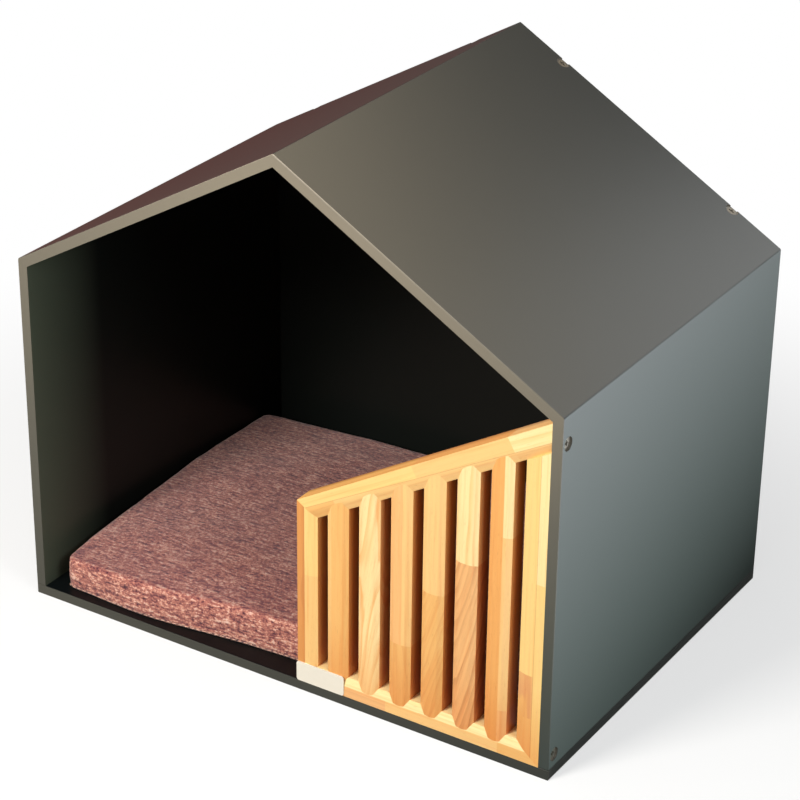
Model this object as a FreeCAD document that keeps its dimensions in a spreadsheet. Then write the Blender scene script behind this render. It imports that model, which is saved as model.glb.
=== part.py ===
import FreeCAD, Part
import math
import os
import re

import Sketcher

# Pet house: a lacquered fibreboard shell, a slatted wooden gate in its front and a loose cushion.
# Millimetres. The front faces -Y, +X is to the right, and the underside lies on z = 0.

doc = FreeCAD.newDocument("PetHouse")
sheet = doc.addObject("Spreadsheet::Sheet", "Dims")

driving_sizes = {
    "house_width": 500,
    "house_depth": 360,
    "eave_height": 311,
    "ridge_height": 456,
    "board_thickness": 9,
    "back_thickness": 9,
    "eave_round": 2,
    "ridge_round": 1,
    "edge_ease": 0.7,
    "gate_width": 221.6,
    "gate_left_height": 165,
    "gate_eave_gap": 1.2,
    "gate_thickness": 18,
    "left_stile_width": 17.8,
    "right_stile_width": 21,
    "top_rail_width": 19,
    "top_rail_end_width": 20.8,
    "bottom_rail_width": 17,
    "frame_bevel_width": 7.5,
    "frame_bevel_depth": 2.5,
    "frame_crease_round": 12,
    "slat_count": 6,
    "slat_width": 19.5,
    "slat_chamfer_width": 4.8,
    "slat_crown_rise": 0.15,
    "slat_crown_depth": 2.5,
    "slat_crease_round": 3,
    "slat_set_back": 0.15,
    "slat_dowel_diameter": 6,
    "slat_dowel_length": 20,
    "corner_dowel_diameter": 5,
    "corner_dowel_length": 14,
    "plate_length": 45,
    "plate_height": 17.7,
    "plate_thickness": 0.8,
    "plate_corner": 2.2,
    "plate_overhang": 0.8,
    "plate_lift": 0.3,
    "recess_diameter": 11.5,
    "wall_recess_depth": 1.8,
    "roof_recess_depth": 1.2,
    "gate_screw_setback": 8,
    "gate_screw_low": 11.4,
    "gate_screw_high": 18.3,
    "roof_screw_end": 51,
    "large_head_diameter": 8,
    "large_shank_diameter": 4,
    "large_screw_length": 25,
    "small_head_diameter": 6.4,
    "small_head_height": 1.8,
    "small_shank_diameter": 3,
    "small_screw_length": 20,
    "small_recess_depth": 3,
    "recess_clearance": 0.4,
    "cross_reach": 0.3,
    "cross_width": 0.09,
    "cross_depth": 0.9,
    "shank_clearance": 0.4,
    "floor_screw_end": 45,
    "back_screw_end": 70,
    "cushion_side_room": 32,
    "cushion_depth_room": 41,
    "cushion_left_gap": 17,
    "cushion_front_gap": 13,
    "cushion_rest_gap": 0.3,
    "cushion_turn": 2.5,
    "cushion_edge_height": 26,
    "cushion_crown": 12,
    "cushion_seam_inset": 2.5,
    "cushion_corner": 16,
    "cushion_pull": 2,
    "crown_ledge": 2,
    "crown_sink": 1,
    "crown_rim": 0.2,
    "cover_thickness": 1.5,
}

derived_sizes = {
    "roof_slope": "atan((ridge_height - eave_height) / (house_width / 2))",
    "roof_length": "house_width / 2 / cos(roof_slope)",
    "eave_half_turn": "(90 deg - roof_slope) / 2",
    "eave_inset": "board_thickness * tan(eave_half_turn)",
    "ridge_inset": "board_thickness * tan(roof_slope)",
    "half_width": "house_width / 2",
    "half_depth": "house_depth / 2",
    "inner_half_width": "half_width - board_thickness",
    "inner_eave_height": "eave_height - eave_inset",
    "inner_ridge_height": "ridge_height - board_thickness / cos(roof_slope)",
    "gate_left": "inner_half_width - gate_width",
    "gate_left_top": "board_thickness + gate_left_height",
    "gate_right_top": "inner_eave_height - gate_eave_gap",
    "gate_slope": "atan((gate_right_top - gate_left_top) / gate_width)",
    "gate_middle": "gate_thickness / 2 - half_depth",
    "field_left": "gate_left + left_stile_width",
    "field_right": "inner_half_width - right_stile_width",
    "field_bottom": "board_thickness + bottom_rail_width",
    "field_start": "gate_left_top - top_rail_width / cos(gate_slope)",
    "right_stile_top": "gate_right_top - top_rail_end_width / cos(gate_slope)",
    "field_slope": "atan((right_stile_top - field_start) / gate_width)",
    "field_left_top": "field_start + (field_left - gate_left) * tan(field_slope)",
    "field_right_top": "field_start + (field_right - gate_left) * tan(field_slope)",
    "slat_gap": "(field_right - field_left - slat_count * slat_width) / (slat_count + 1)",
    "slat_crown_half": "slat_width / 2 - slat_chamfer_width",
    "slat_crown_radius": "(slat_crown_half ^ 2 + slat_crown_rise ^ 2) / (2 * slat_crown_rise)",
    "slat_peak": "slat_set_back - half_depth",
    "cushion_width": "2 * inner_half_width - cushion_side_room",
    "cushion_depth": "house_depth - back_thickness - cushion_depth_room",
}

for row, (name, size) in enumerate({**driving_sizes, **derived_sizes}.items(), start=1):
    sheet.set("A%d" % row, name)
    sheet.set("B%d" % row, "=" + size if name in derived_sizes else str(size))
    sheet.setAlias("B%d" % row, name)
doc.recompute()

size_name = re.compile(r"\b(%s)\b" % "|".join([*driving_sizes, *derived_sizes]))
cuts = []


def bound(formula):
    """The formula with every size's name pointing at its cell."""
    return size_name.sub(r"Dims.\1", str(formula))


def value(formula):
    """The formula's value now, in millimetres or degrees."""
    result = sheet.evalExpression(bound(formula))
    return float(getattr(result, "Value", result))


def bind(item, path, formula):
    item.setExpression(path, bound(formula))


# Sketches and PartDesign features

def new_body(label):
    body = doc.addObject("PartDesign::Body", label + "_body")
    body.Label = label
    return body


def new_sketch(body, role, offset="0"):
    """A sketch on one of the body's own origin planes, moved along the plane's normal."""
    sketch = body.newObject("Sketcher::SketchObject", body.Name + "_sketch")
    plane = next(item for item in body.Origin.OriginFeatures if item.Role == role)
    sketch.AttachmentSupport = [(plane, "")]
    sketch.MapMode = "FlatFace"
    bind(sketch, "AttachmentOffset.Base.z", offset)
    return sketch


def pin_point(sketch, geometry, position, x=None, y=None):
    """Ties a point's coordinates in the sketch to formulas."""
    for kind, formula in (("DistanceX", x), ("DistanceY", y)):
        if formula is not None:
            index = sketch.addConstraint(
                Sketcher.Constraint(kind, -1, 1, geometry, position, value(formula)))
            bind(sketch, "Constraints[%d]" % index, formula)


def draw_outline(sketch, corners, arcs=None):
    """A closed outline of lines; arcs gives, by the corner it starts from, an edge's centre and radius."""
    arcs = arcs or {}
    points = [FreeCAD.Vector(value(x), value(y), 0) for x, y in corners]
    edges = []
    for index, start in enumerate(points):
        end = points[(index + 1) % len(points)]
        if index not in arcs:
            edges.append((sketch.addGeometry(Part.LineSegment(start, end)), 1, 2))
            continue
        centre_x, centre_y, radius = arcs[index]
        centre = FreeCAD.Vector(value(centre_x), value(centre_y), 0)
        angles = [math.atan2(point.y - centre.y, point.x - centre.x) for point in (start, end)]
        forward = (angles[1] - angles[0]) % math.tau < math.pi
        first, last = angles if forward else reversed(angles)
        circle = Part.Circle(centre, FreeCAD.Vector(0, 0, 1), value(radius))
        arc = sketch.addGeometry(Part.ArcOfCircle(circle, first, last))
        edges.append((arc, 1, 2) if forward else (arc, 2, 1))
        pin_point(sketch, arc, 3, centre_x, centre_y)
        limit = sketch.addConstraint(Sketcher.Constraint("Radius", arc, value(radius)))
        bind(sketch, "Constraints[%d]" % limit, radius)
    for index, (edge, start, _) in enumerate(edges):
        before, _, end = edges[index - 1]
        sketch.addConstraint(Sketcher.Constraint("Coincident", before, end, edge, start))
        x, y = corners[index]
        arc_index = next((i for i in (index, (index - 1) % len(edges)) if i in arcs), None)
        if arc_index is None:
            pin_point(sketch, edge, start, x, y)
            continue
        reach_x = abs(points[index].x - value(arcs[arc_index][0]))
        reach_y = abs(points[index].y - value(arcs[arc_index][1]))
        if reach_x > reach_y:
            pin_point(sketch, edge, start, y=y)
        else:
            pin_point(sketch, edge, start, x=x)


def draw_circles(sketch, centres, diameter):
    for x, y in centres:
        centre = FreeCAD.Vector(value(x), value(y), 0)
        radius = value(diameter) / 2
        circle = sketch.addGeometry(Part.Circle(centre, FreeCAD.Vector(0, 0, 1), radius))
        pin_point(sketch, circle, 3, x, y)
        index = sketch.addConstraint(Sketcher.Constraint("Radius", circle, radius))
        bind(sketch, "Constraints[%d]" % index, "(%s) / 2" % diameter)


def add_pad(body, sketch, length, backwards=False, both_ways=False):
    pad = body.newObject("PartDesign::Pad", body.Name + "_pad")
    pad.Profile = sketch
    pad.Reversed = backwards
    pad.Midplane = both_ways
    bind(pad, "Length", length)
    return pad


def add_pocket(body, sketch, depth, backwards=False):
    pocket = body.newObject("PartDesign::Pocket", body.Name + "_pocket")
    pocket.Profile = sketch
    pocket.Reversed = backwards
    bind(pocket, "Length", depth)
    cuts.append(pocket)
    return pocket


def edges_where(feature, test):
    """Names of the feature's edges whose middle point passes the test."""
    found = []
    for index, edge in enumerate(feature.Shape.Edges, start=1):
        middle = edge.valueAt((edge.FirstParameter + edge.LastParameter) / 2)
        if test(middle):
            found.append("Edge%d" % index)
    return found


def ease_edges(body, feature, radius, test):
    """Rounds the feature's edges that pass the test."""
    doc.recompute()
    fillet = body.newObject("PartDesign::Fillet", body.Name + "_fillet")
    fillet.Base = (feature, edges_where(feature, test))
    bind(fillet, "Radius", radius)
    return fillet


def drill(body, role, offset, centres, diameter, depth, backwards=False):
    """Round holes from a plane parallel to one of the origin planes."""
    sketch = new_sketch(body, role, offset)
    draw_circles(sketch, centres, diameter)
    return add_pocket(body, sketch, depth, backwards)


def drill_for_screws(body, role, offset, centres, recess, recess_depth, shank, backwards=False):
    """A head recess and a clearance hole for each screw through a board."""
    drill(body, role, offset, centres, recess, recess_depth, backwards)
    return drill(body, role, offset, centres, shank, "board_thickness", backwards)


def sink_heads(body, holes, centres):
    """Countersinks the large screws' holes round the given points on the bottom of their recesses."""
    doc.recompute()
    sink = body.newObject("PartDesign::Chamfer", body.Name + "_sink")
    sink.Base = (holes, edges_where(holes, lambda middle: any(
        (middle - centre).Length < value("large_head_diameter / 2") for centre in centres)))
    bind(sink, "Size", "(large_head_diameter - large_shank_diameter - shank_clearance) / 2")
    cuts.append(sink)


# Shell boards

def is_near(number, target):
    return abs(number - target) < value("board_thickness / 4")


def make_floor_board(label, wall_screws, back_screws, gate_screws):
    body = new_body(label)
    sketch = new_sketch(body, "XY_Plane")
    draw_outline(sketch, [("-half_width", "-half_depth"), ("half_width", "-half_depth"),
                          ("half_width", "half_depth"), ("-half_width", "half_depth")])
    board = add_pad(body, sketch, "board_thickness")
    ease_edges(body, board, "edge_ease", lambda middle: True)
    drill_for_screws(body, "XY_Plane", "0", wall_screws + back_screws + gate_screws,
                     "small_head_diameter + recess_clearance", "small_recess_depth",
                     "small_shank_diameter + shank_clearance", backwards=True)
    return body


def make_wall(label, side):
    """side is 1 for the right wall and -1 for the left one."""
    body = new_body(label)
    sketch = new_sketch(body, "XZ_Plane")
    round_rise = "eave_height - eave_round * tan(eave_half_turn)"
    draw_outline(
        sketch,
        [("%d * inner_half_width" % side, "board_thickness"),
         ("%d * half_width" % side, "board_thickness"),
         ("%d * half_width" % side, round_rise),
         ("%d * (half_width - eave_round * (1 - cos(eave_half_turn)))" % side,
          round_rise + " + eave_round * sin(eave_half_turn)"),
         ("%d * inner_half_width" % side, "inner_eave_height")],
        {2: ("%d * (half_width - eave_round)" % side, round_rise, "eave_round")})
    board = add_pad(body, sketch, "house_depth", both_ways=True)
    ease_edges(body, board, "edge_ease",
               lambda middle: is_near(abs(middle.x), value("half_width"))
               and is_near(abs(middle.y), value("half_depth")))
    return body


def make_roof_board(label, side):
    """A board laid flat with its outer face on z = 0 and the ridge at x = 0, then tilted into place."""
    body = new_body(label)
    sketch = new_sketch(body, "XZ_Plane")
    eave_centre = "(roof_length - eave_round * tan(eave_half_turn))"
    ridge_centre = "ridge_round * tan(roof_slope)"
    draw_outline(
        sketch,
        [("%d * ridge_inset" % side, "-board_thickness"),
         ("%d * (roof_length - eave_inset)" % side, "-board_thickness"),
         ("%d * (%s + eave_round * sin(eave_half_turn))" % (side, eave_centre),
          "eave_round * (cos(eave_half_turn) - 1)"),
         ("%d * %s" % (side, eave_centre), "0"),
         ("%d * %s" % (side, ridge_centre), "0"),
         ("%d * (%s - ridge_round * sin(roof_slope))" % (side, ridge_centre),
          "ridge_round * (cos(roof_slope) - 1)")],
        {2: ("%d * %s" % (side, eave_centre), "-eave_round", "eave_round"),
         4: ("%d * %s" % (side, ridge_centre), "-ridge_round", "ridge_round")})
    board = add_pad(body, sketch, "house_depth", both_ways=True)
    ease_edges(body, board, "edge_ease",
               lambda middle: is_near(middle.z, 0) and is_near(abs(middle.y), value("half_depth")))
    screw_row = "half_depth - back_thickness / 2"
    centres = [("%d * %s" % (side, distance), screw_row)
               for distance in ("roof_screw_end", "(roof_length - roof_screw_end)")]
    holes = drill_for_screws(body, "XY_Plane", "0", centres, "recess_diameter", "roof_recess_depth",
                             "large_shank_diameter + shank_clearance")
    sink_heads(body, holes, [FreeCAD.Vector(value(x), value(y), -value("roof_recess_depth"))
                             for x, y in centres])
    bind(body, "Placement.Base.z", "ridge_height")
    body.Placement.Rotation = FreeCAD.Rotation(FreeCAD.Vector(0, side, 0), value("roof_slope"))
    bind(body, "Placement.Rotation.Angle", "roof_slope")
    return body


def make_back_panel(label):
    body = new_body(label)
    sketch = new_sketch(body, "XZ_Plane", "-half_depth")
    draw_outline(sketch, [("-inner_half_width", "board_thickness"),
                          ("inner_half_width", "board_thickness"),
                          ("inner_half_width", "inner_eave_height"),
                          ("0", "inner_ridge_height"),
                          ("-inner_half_width", "inner_eave_height")])
    add_pad(body, sketch, "back_thickness")
    return body


# Gate

def make_gate_member(label, outer_from, outer_to, inner_to, inner_from):
    """A frame member, bevelled at the front along its inner edge, with the crease softened."""
    body = new_body(label)
    sketch = new_sketch(body, "XZ_Plane", "half_depth")
    draw_outline(sketch, [outer_from, outer_to, inner_to, inner_from])
    member = add_pad(body, sketch, "gate_thickness", backwards=True)
    doc.recompute()
    start = FreeCAD.Vector(value(inner_from[0]), value("-half_depth"), value(inner_from[1]))
    end = FreeCAD.Vector(value(inner_to[0]), value("-half_depth"), value(inner_to[1]))
    bevel = body.newObject("PartDesign::Chamfer", body.Name + "_bevel")
    inner_edge = edges_where(member, lambda middle: is_near((middle - (start + end) / 2).Length, 0))
    bevel.Base = (member, inner_edge)
    bevel.ChamferType = "Two distances"
    bevel.FlipDirection = True
    bind(bevel, "Size", "frame_bevel_width")
    bind(bevel, "Size2", "frame_bevel_depth")
    cuts.append(bevel)
    along = (end - start).normalize()

    def lies_on_crease(middle):
        distance = (middle - start - along * (middle - start).dot(along)).Length
        return (abs(middle.y - start.y) < value("frame_bevel_depth / 4")
                and abs(distance - value("frame_bevel_width")) < value("frame_bevel_width / 8"))

    ease_edges(body, bevel, "frame_crease_round", lies_on_crease)
    return body


def make_slat_blank():
    """A chamfered and slightly crowned bar standing at x = 0, as long as the highest slat."""
    body = new_body("slat_blank")
    sketch = new_sketch(body, "XY_Plane", "board_thickness")
    facet, shoulder = "slat_peak + slat_crown_rise", "slat_peak + slat_crown_depth"
    back = "gate_thickness - half_depth"
    draw_outline(sketch, [("-slat_width / 2", shoulder), ("-slat_crown_half", facet),
                          ("slat_crown_half", facet), ("slat_width / 2", shoulder),
                          ("slat_width / 2", back), ("-slat_width / 2", back)],
                 {1: ("0", "slat_peak + slat_crown_radius", "slat_crown_radius")})
    bar = add_pad(body, sketch, "gate_right_top - board_thickness")
    ease_edges(body, bar, "slat_crease_round",
               lambda middle: abs(abs(middle.x) - value("slat_crown_half")) < value("slat_crown_rise"))
    return body


def make_slat_field():
    """The space that slats may fill: it ends inside the flat parts of the two rails."""
    body = new_body("slat_field")
    sketch = new_sketch(body, "XZ_Plane", "half_depth")
    low = "field_bottom - (bottom_rail_width + frame_bevel_width) / 2"
    rise = " + (top_rail_width + frame_bevel_width) / 2 / cos(gate_slope)"
    draw_outline(sketch, [("field_left", low), ("field_right", low),
                          ("field_right", "field_right_top" + rise),
                          ("field_left", "field_left_top" + rise)])
    add_pad(body, sketch, "gate_thickness", backwards=True)
    return body


def slat_middle(number):
    return "(field_left + %d * slat_gap + %s * slat_width)" % (number, number - 0.5)


def field_top_at(x):
    return "(field_start + (%s - gate_left) * tan(field_slope))" % x


def make_slat(number, blank, field, rails, dowels):
    """One slat, its two ends fitted over the bevels of the rails."""
    bar = place_copy(blank, "slat_bar_%d" % number, x=slat_middle(number))
    trimmed = combine("Part::Common", "slat_trimmed_%d" % number, bar, field)
    fitted = combine("Part::Cut", "slat_fitted_%d" % number, trimmed, rails)
    return combine("Part::Cut", "gate_slat_%d" % number, fitted, dowels)


# Fasteners and the pieces they go into

def place_copy(master, label, x="0", y="0", z="0", axis=(0, 0, 1), turn="0"):
    copy = doc.addObject("App::Link", label)
    copy.LinkedObject = master
    copy.Placement.Rotation = FreeCAD.Rotation(FreeCAD.Vector(*axis), value(turn))
    for path, formula in (("Base.x", x), ("Base.y", y), ("Base.z", z), ("Rotation.Angle", turn)):
        bind(copy, "Placement." + path, formula)
    return copy


def combine(kind, label, base, tool):
    result = doc.addObject(kind, label)
    result.Label = label
    result.Base = base
    result.Tool = tool
    return result


def group(label, members):
    compound = doc.addObject("Part::Compound", label)
    compound.Label = label
    compound.Links = members
    return compound


def fit_over(label, base, *fasteners):
    """The piece with a snug hole for each fastener that enters it."""
    base.Label = label + "_blank"
    piece = base
    for index, fastener in enumerate(fasteners):
        last = index == len(fasteners) - 1
        piece = combine("Part::Cut", label if last else "%s_cut_%d" % (label, index), piece, fastener)
    return piece


def make_screw(label, head, head_top, head_diameter, shank_diameter, length):
    """A screw whose tip points down; head is the head's outline from the shank to its top."""
    body = new_body(label)
    sketch = new_sketch(body, "XZ_Plane")
    draw_outline(sketch, [("0", "-" + length),
                          (shank_diameter + " / 2", "%s - %s" % (shank_diameter, length)),
                          *head, ("0", head_top)])
    turned = body.newObject("PartDesign::Revolution", label + "_turned")
    turned.Profile = sketch
    turned.ReferenceAxis = (sketch, ["V_Axis"])
    turned.Angle = 360
    reach, arm = "cross_reach * " + head_diameter, "cross_width * " + head_diameter
    cross = new_sketch(body, "XY_Plane", head_top)
    draw_outline(cross, [(reach, "-" + arm), (reach, arm), (arm, arm), (arm, reach),
                         ("-" + arm, reach), ("-" + arm, arm), ("-" + reach, arm),
                         ("-" + reach, "-" + arm), ("-" + arm, "-" + arm), ("-" + arm, "-" + reach),
                         (arm, "-" + reach), (arm, "-" + arm)])
    add_pocket(body, cross, "cross_depth")
    return body


def make_dowel(label, diameter, length, x, z, tilt="0"):
    """A round pin in the middle of the gate's thickness, its middle at x and z."""
    dowel = doc.addObject("Part::Cylinder", label)
    bind(dowel, "Radius", diameter + " / 2")
    bind(dowel, "Height", length)
    dowel.Placement.Rotation = FreeCAD.Rotation(FreeCAD.Vector(0, -1, 0), value(tilt))
    bind(dowel, "Placement.Rotation.Angle", tilt)
    bind(dowel, "Placement.Base.x", "%s + %s / 2 * sin(%s)" % (x, length, tilt))
    bind(dowel, "Placement.Base.y", "gate_middle")
    bind(dowel, "Placement.Base.z", "%s - %s / 2 * cos(%s)" % (z, length, tilt))
    return dowel


def make_corner_dowel(label, outer, inner):
    """A pin square across the mitre that runs from the outer corner to the inner one."""
    mitre = "atan((%s - %s) / (%s - %s))" % (inner[1], outer[1], inner[0], outer[0])
    return make_dowel(label, "corner_dowel_diameter", "corner_dowel_length",
                      "(%s + %s) / 2" % (outer[0], inner[0]), "(%s + %s) / 2" % (outer[1], inner[1]),
                      mitre)


# Plate and cushion

crown_steps = 4
crown_power = 3
crown_end_power = 6


def make_plate(label):
    """A bare plate with rounded corners on the foot of the gate."""
    body = new_body(label)
    sketch = new_sketch(body, "XZ_Plane", "half_depth")
    left, bottom = "gate_left - plate_overhang", "board_thickness + plate_lift"
    right, top = left + " + plate_length", bottom + " + plate_height"
    draw_outline(sketch, [(left, bottom), (right, bottom), (right, top), (left, top)])
    plate = add_pad(body, sketch, "plate_thickness")
    half_way = value("half_depth + plate_thickness / 2")
    ease_edges(body, plate, "plate_corner",
               lambda middle: abs(middle.y + half_way) < value("plate_thickness / 4"))
    return body


def pad_outline(inset, height):
    """A level outline with round corners and sides that are drawn in between them."""
    width, depth, pull = value("cushion_width"), value("cushion_depth"), value("cushion_pull")
    corner = value("cushion_corner") - inset
    low, high_x, high_y = inset + corner, width - inset - corner, depth - inset - corner
    corners = []
    for x, y, start in ((high_x, low, -90), (high_x, high_y, 0), (low, high_y, 90), (low, low, 180)):
        turns = [math.radians(start + step) for step in (0, 45, 90)]
        corners.append([FreeCAD.Vector(x + corner * math.cos(turn), y + corner * math.sin(turn), height)
                        for turn in turns])
    edges = []
    for index, points in enumerate(corners):
        end, start = points[2], corners[(index + 1) % 4][0]
        side_middle = (end + start) / 2
        inwards = (FreeCAD.Vector(width / 2, depth / 2, height) - side_middle).normalize()
        edges.append(Part.Arc(*points).toShape())
        edges.append(Part.Arc(end, side_middle + inwards * pull, start).toShape())
    return Part.Wire(edges)


def crown_profile(x, low, high, base, rise):
    """An upright profile across the pad at x: a chord at the base and an arch over it."""
    start, end = FreeCAD.Vector(x, low, base), FreeCAD.Vector(x, high, base)
    top = FreeCAD.Vector(x, (low + high) / 2, base + rise)
    return Part.Wire([Part.Arc(start, top, end).toShape(), Part.LineSegment(end, start).toShape()])


def make_pad_form(inset):
    """The crowned pad, inset all round; the whole pad's front left bottom corner is the origin."""
    width, depth = value("cushion_width"), value("cushion_depth")
    top = value("cushion_edge_height") - inset
    seam = inset + value("cushion_seam_inset")
    sides = Part.makeLoft([pad_outline(seam, inset), pad_outline(inset, (inset + top) / 2),
                           pad_outline(seam, top)], True, False)
    margin = seam + value("cushion_pull + crown_ledge")
    profiles = []
    for step in range(-crown_steps, crown_steps + 1):
        share = step / crown_steps
        x = width / 2 + share * (width / 2 - margin)
        narrowing = abs(share) ** crown_end_power * value("cushion_corner") / 2
        rise = value("crown_sink + crown_rim") + value("cushion_crown") * (1 - abs(share) ** crown_power)
        profiles.append(crown_profile(x, margin + narrowing, depth - margin - narrowing,
                                      top - value("crown_sink"), rise))
    return sides.fuse(Part.makeLoft(profiles, True, False))


def make_cushion_piece(label, shape):
    piece = doc.addObject("Part::Feature", label)
    piece.Shape = shape
    piece.Placement = FreeCAD.Placement(
        FreeCAD.Vector(value("cushion_left_gap - inner_half_width"),
                       value("cushion_front_gap - half_depth"),
                       value("board_thickness + cushion_rest_gap")),
        FreeCAD.Rotation(FreeCAD.Vector(0, 0, 1), value("cushion_turn")))
    return piece


# Where the screws go

countersunk_head = [("large_shank_diameter / 2", "(large_shank_diameter - large_head_diameter) / 2"),
                    ("large_head_diameter / 2", "0")]
pan_head = [("small_shank_diameter / 2", "0"), ("small_head_diameter / 2", "0"),
            ("small_head_diameter / 2", "small_head_height / 2"),
            ("(small_head_diameter - small_head_height) / 2", "small_head_height")]
large_screw = make_screw("large_screw", countersunk_head, "0",
                         "large_head_diameter", "large_shank_diameter", "large_screw_length")
small_screw = make_screw("small_screw", pan_head, "small_head_height",
                         "small_head_diameter", "small_shank_diameter", "small_screw_length")

wall_middle = "(half_width - board_thickness / 2)"
wall_spots = [("%d * %s" % (side, wall_middle), "%d * (half_depth - floor_screw_end)" % step)
              for side in (-1, 1) for step in (-1, 0, 1)]
back_spots = [("%d * (inner_half_width - back_screw_end)" % step, "half_depth - back_thickness / 2")
              for step in (-1, 0, 1)]
gate_spots = [("%s + (slat_width + slat_gap) / 2" % slat_middle(number), "gate_middle")
              for number in (1, int(value("slat_count")) - 1)]


def floor_screws(label, spots):
    return group(label, [place_copy(small_screw, "%s_%d" % (label, index), x, y, "small_recess_depth",
                                    (1, 0, 0), "180") for index, (x, y) in enumerate(spots, start=1)])


floor_wall_screws = floor_screws("floor_wall_screws", wall_spots)
floor_back_screws = floor_screws("floor_back_screws", back_spots)
gate_floor_screws = floor_screws("gate_floor_screws", gate_spots)

gate_screw_spots = [("gate_screw_setback - half_depth", "board_thickness + gate_screw_low"),
                    ("gate_screw_setback - half_depth", "inner_eave_height - gate_screw_high")]
gate_wall_screws = group("gate_wall_screws", [
    place_copy(large_screw, "gate_wall_screw_%d" % index, "half_width - wall_recess_depth", y, z,
               (0, 1, 0), "90") for index, (y, z) in enumerate(gate_screw_spots, start=1)])

roof_screws = []
for side in (-1, 1):
    for distance in ("roof_screw_end", "(roof_length - roof_screw_end)"):
        roof_screws.append(place_copy(
            large_screw, "roof_screw_%d" % (len(roof_screws) + 1),
            "%d * (%s * cos(roof_slope) - roof_recess_depth * sin(roof_slope))" % (side, distance),
            "half_depth - back_thickness / 2",
            "ridge_height - %s * sin(roof_slope) - roof_recess_depth * cos(roof_slope)" % distance,
            (0, side, 0), "roof_slope"))
back_roof_screws = group("back_roof_screws", roof_screws)

# Shell

floor_board = make_floor_board("floor_board", wall_spots, back_spots, gate_spots)
left_wall = make_wall("left_wall", -1)
right_wall = make_wall("right_wall", 1)
wall_holes = drill_for_screws(right_wall, "YZ_Plane", "half_width", gate_screw_spots, "recess_diameter",
                              "wall_recess_depth", "large_shank_diameter + shank_clearance")
recess_bottom = value("half_width - wall_recess_depth")
sink_heads(right_wall, wall_holes, [FreeCAD.Vector(recess_bottom, value(y), value(z))
                                    for y, z in gate_screw_spots])
shell = [
    floor_board,
    fit_over("left_wall", left_wall, floor_wall_screws),
    fit_over("right_wall", right_wall, floor_wall_screws),
    make_roof_board("left_roof", -1),
    make_roof_board("right_roof", 1),
    fit_over("back_panel", make_back_panel("back_panel"), floor_back_screws, back_roof_screws),
]

# Gate frame, slats and their pins

outer_low_left, outer_low_right = ("gate_left", "board_thickness"), ("inner_half_width", "board_thickness")
outer_top_left, outer_top_right = ("gate_left", "gate_left_top"), ("inner_half_width", "gate_right_top")
inner_low_left, inner_low_right = ("field_left", "field_bottom"), ("field_right", "field_bottom")
inner_top_left, inner_top_right = ("field_left", "field_left_top"), ("field_right", "field_right_top")
rail_end_right = ("inner_half_width", "right_stile_top")

left_stile = make_gate_member("gate_left_stile", outer_top_left, outer_low_left,
                              inner_low_left, inner_top_left)
bottom_rail = make_gate_member("gate_bottom_rail", outer_low_left, outer_low_right,
                               inner_low_right, inner_low_left)
right_stile = make_gate_member("gate_right_stile", outer_low_right, rail_end_right,
                               inner_top_right, inner_low_right)
top_rail = make_gate_member("gate_top_rail", outer_top_right, outer_top_left,
                            inner_top_left, rail_end_right)

slat_numbers = range(1, int(value("slat_count")) + 1)
slat_dowels = []
for number in slat_numbers:
    for end, height in (("low", "field_bottom"), ("top", field_top_at(slat_middle(number)))):
        slat_dowels.append(make_dowel("slat_dowel_%s_%d" % (end, number), "slat_dowel_diameter",
                                      "slat_dowel_length", slat_middle(number), height))
gate_slat_dowels = group("gate_slat_dowels", slat_dowels)
right_stile_middle = "((field_right + inner_half_width) / 2)"
gate_corner_dowels = group("gate_corner_dowels", [
    make_corner_dowel("low_corner_dowel", outer_low_left, inner_low_left),
    make_corner_dowel("top_corner_dowel", outer_top_left, inner_top_left),
    make_dowel("stile_dowel", "corner_dowel_diameter", "corner_dowel_length",
               right_stile_middle, field_top_at(right_stile_middle))])

slat_blank, slat_field = make_slat_blank(), make_slat_field()
rails = group("rail_blanks", [bottom_rail, top_rail])
slats = [make_slat(number, slat_blank, slat_field, rails, gate_slat_dowels) for number in slat_numbers]
gate = [
    fit_over("gate_left_stile", left_stile, gate_corner_dowels),
    fit_over("gate_right_stile", right_stile, gate_wall_screws, gate_corner_dowels),
    fit_over("gate_top_rail", top_rail, gate_wall_screws, gate_slat_dowels, gate_corner_dowels),
    fit_over("gate_bottom_rail", bottom_rail, gate_wall_screws, gate_floor_screws, gate_slat_dowels,
             gate_corner_dowels),
    *slats,
    make_plate("name_plate"),
]

# Cushion

foam = make_pad_form(value("cover_thickness"))
cushion = [make_cushion_piece("cushion_foam", foam),
           make_cushion_piece("cushion_cover", make_pad_form(0).cut(foam))]

fasteners = [gate_wall_screws, back_roof_screws, floor_wall_screws, floor_back_screws,
             gate_floor_screws, gate_slat_dowels, gate_corner_dowels]

# Checks and files

doc.recompute()
for item in doc.Objects:
    if {"Invalid", "Error"} & set(item.State):
        raise RuntimeError("%s failed" % item.Name)
for cut in cuts:
    removed = cut.BaseFeature.Shape.Volume - cut.Shape.Volume
    if removed <= 0:
        raise RuntimeError("%s cuts nothing" % cut.Name)

os.makedirs("parts", exist_ok=True)
for node in shell + gate + cushion + fasteners:
    if node.Shape.isNull() or not node.Shape.isValid():
        raise RuntimeError("%s has no valid shape" % node.Label)
    node.Shape.exportStep("parts/%s.step" % node.Label)
    print(node.Label, "solids", len(node.Shape.Solids), "volume %.0f mm3" % node.Shape.Volume)
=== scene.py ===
import math

import bmesh
import bpy
from mathutils import Matrix, Vector, noise


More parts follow.
